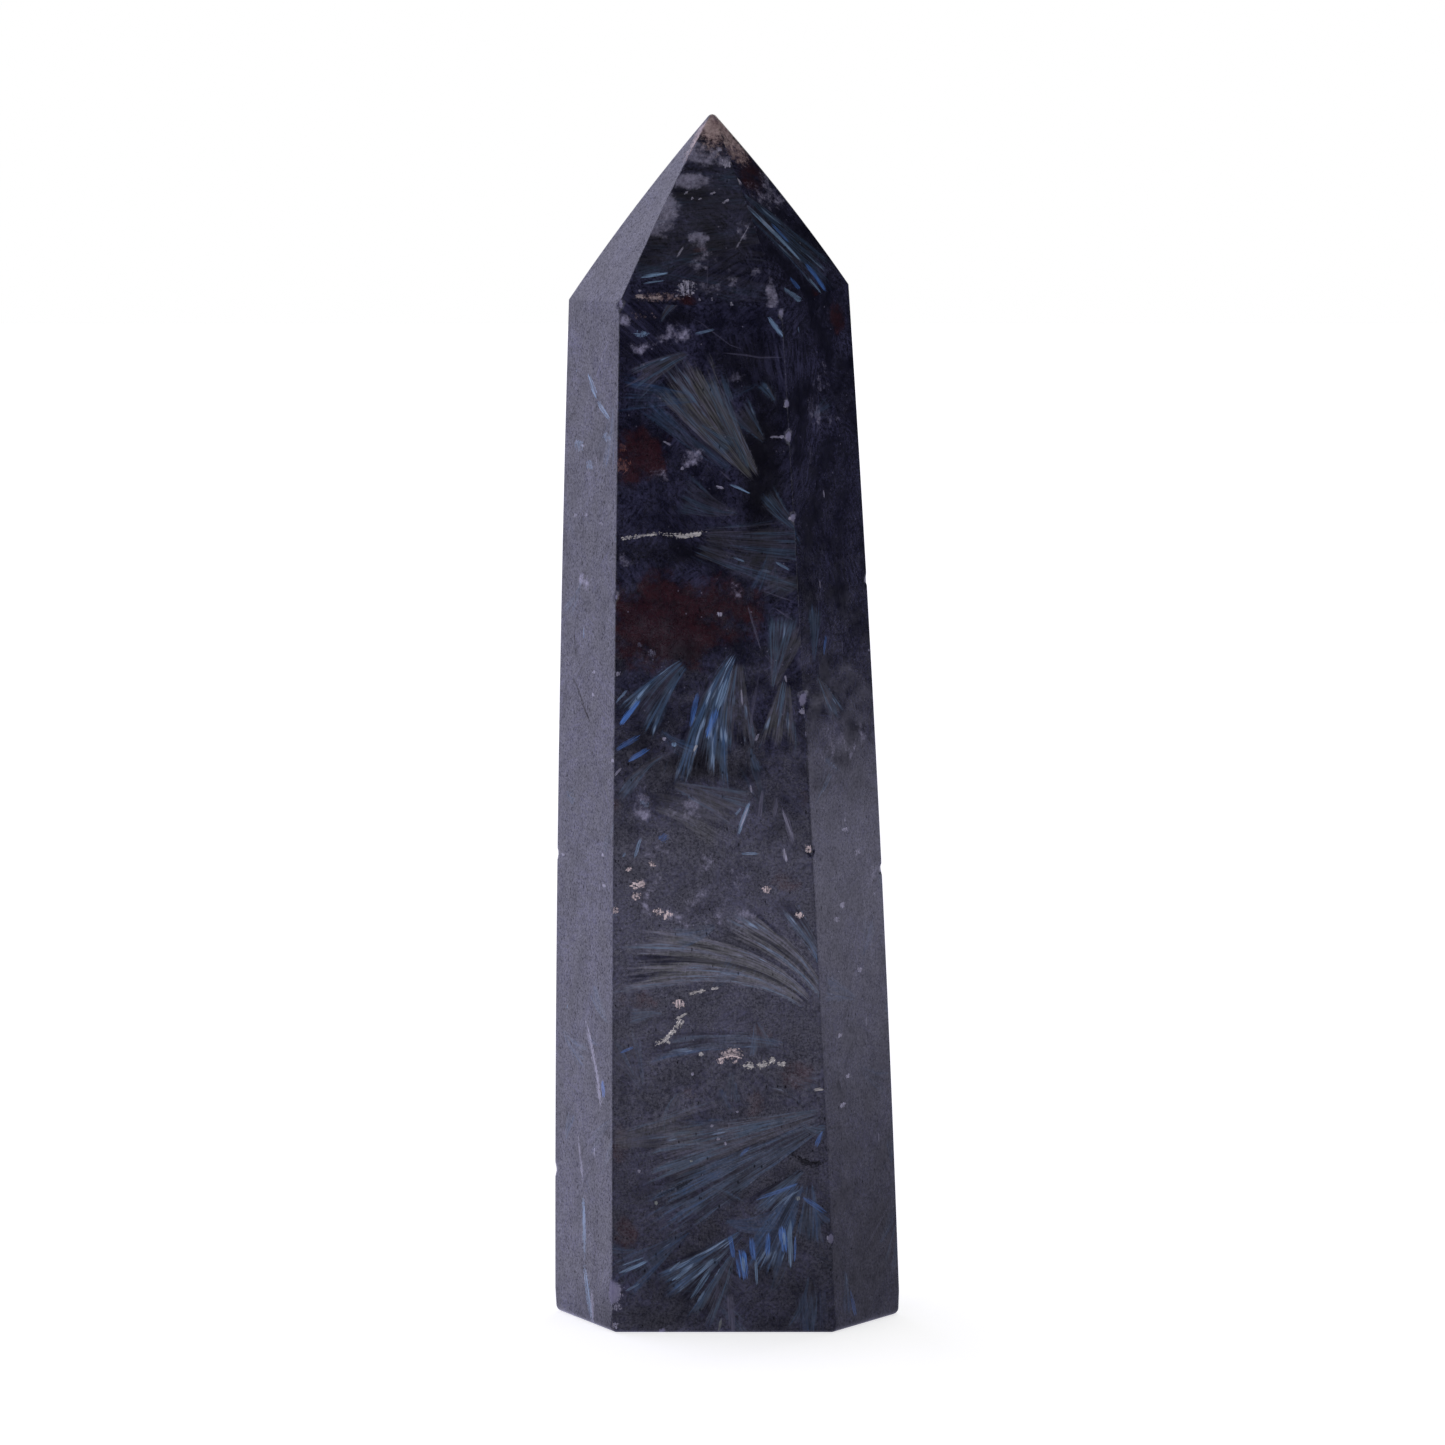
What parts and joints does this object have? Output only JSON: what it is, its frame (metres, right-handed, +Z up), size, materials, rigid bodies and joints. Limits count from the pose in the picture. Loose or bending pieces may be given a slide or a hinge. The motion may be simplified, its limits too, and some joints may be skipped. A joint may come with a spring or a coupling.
{
  "type": "crystal tower",
  "caption": "Free-standing polished stone tower: a tapered six-sided prism with a faceted point, on a flat base. Near-black stone with sprays of grey and blue fibres.",
  "frame": {"origin": "middle of the flat base that the tower stands on", "axes": "+Z up along the tower to its point, -Y out of the broad front facet, +X to the right of that facet as seen from the front"},
  "size_m": [0.0286, 0.021, 0.1],
  "materials": {
    "polished_hornblende": "gloss"
  },
  "bodies": {
    "root": {"crystal_tower": "polished_hornblende"}
  },
  "joints": []
}
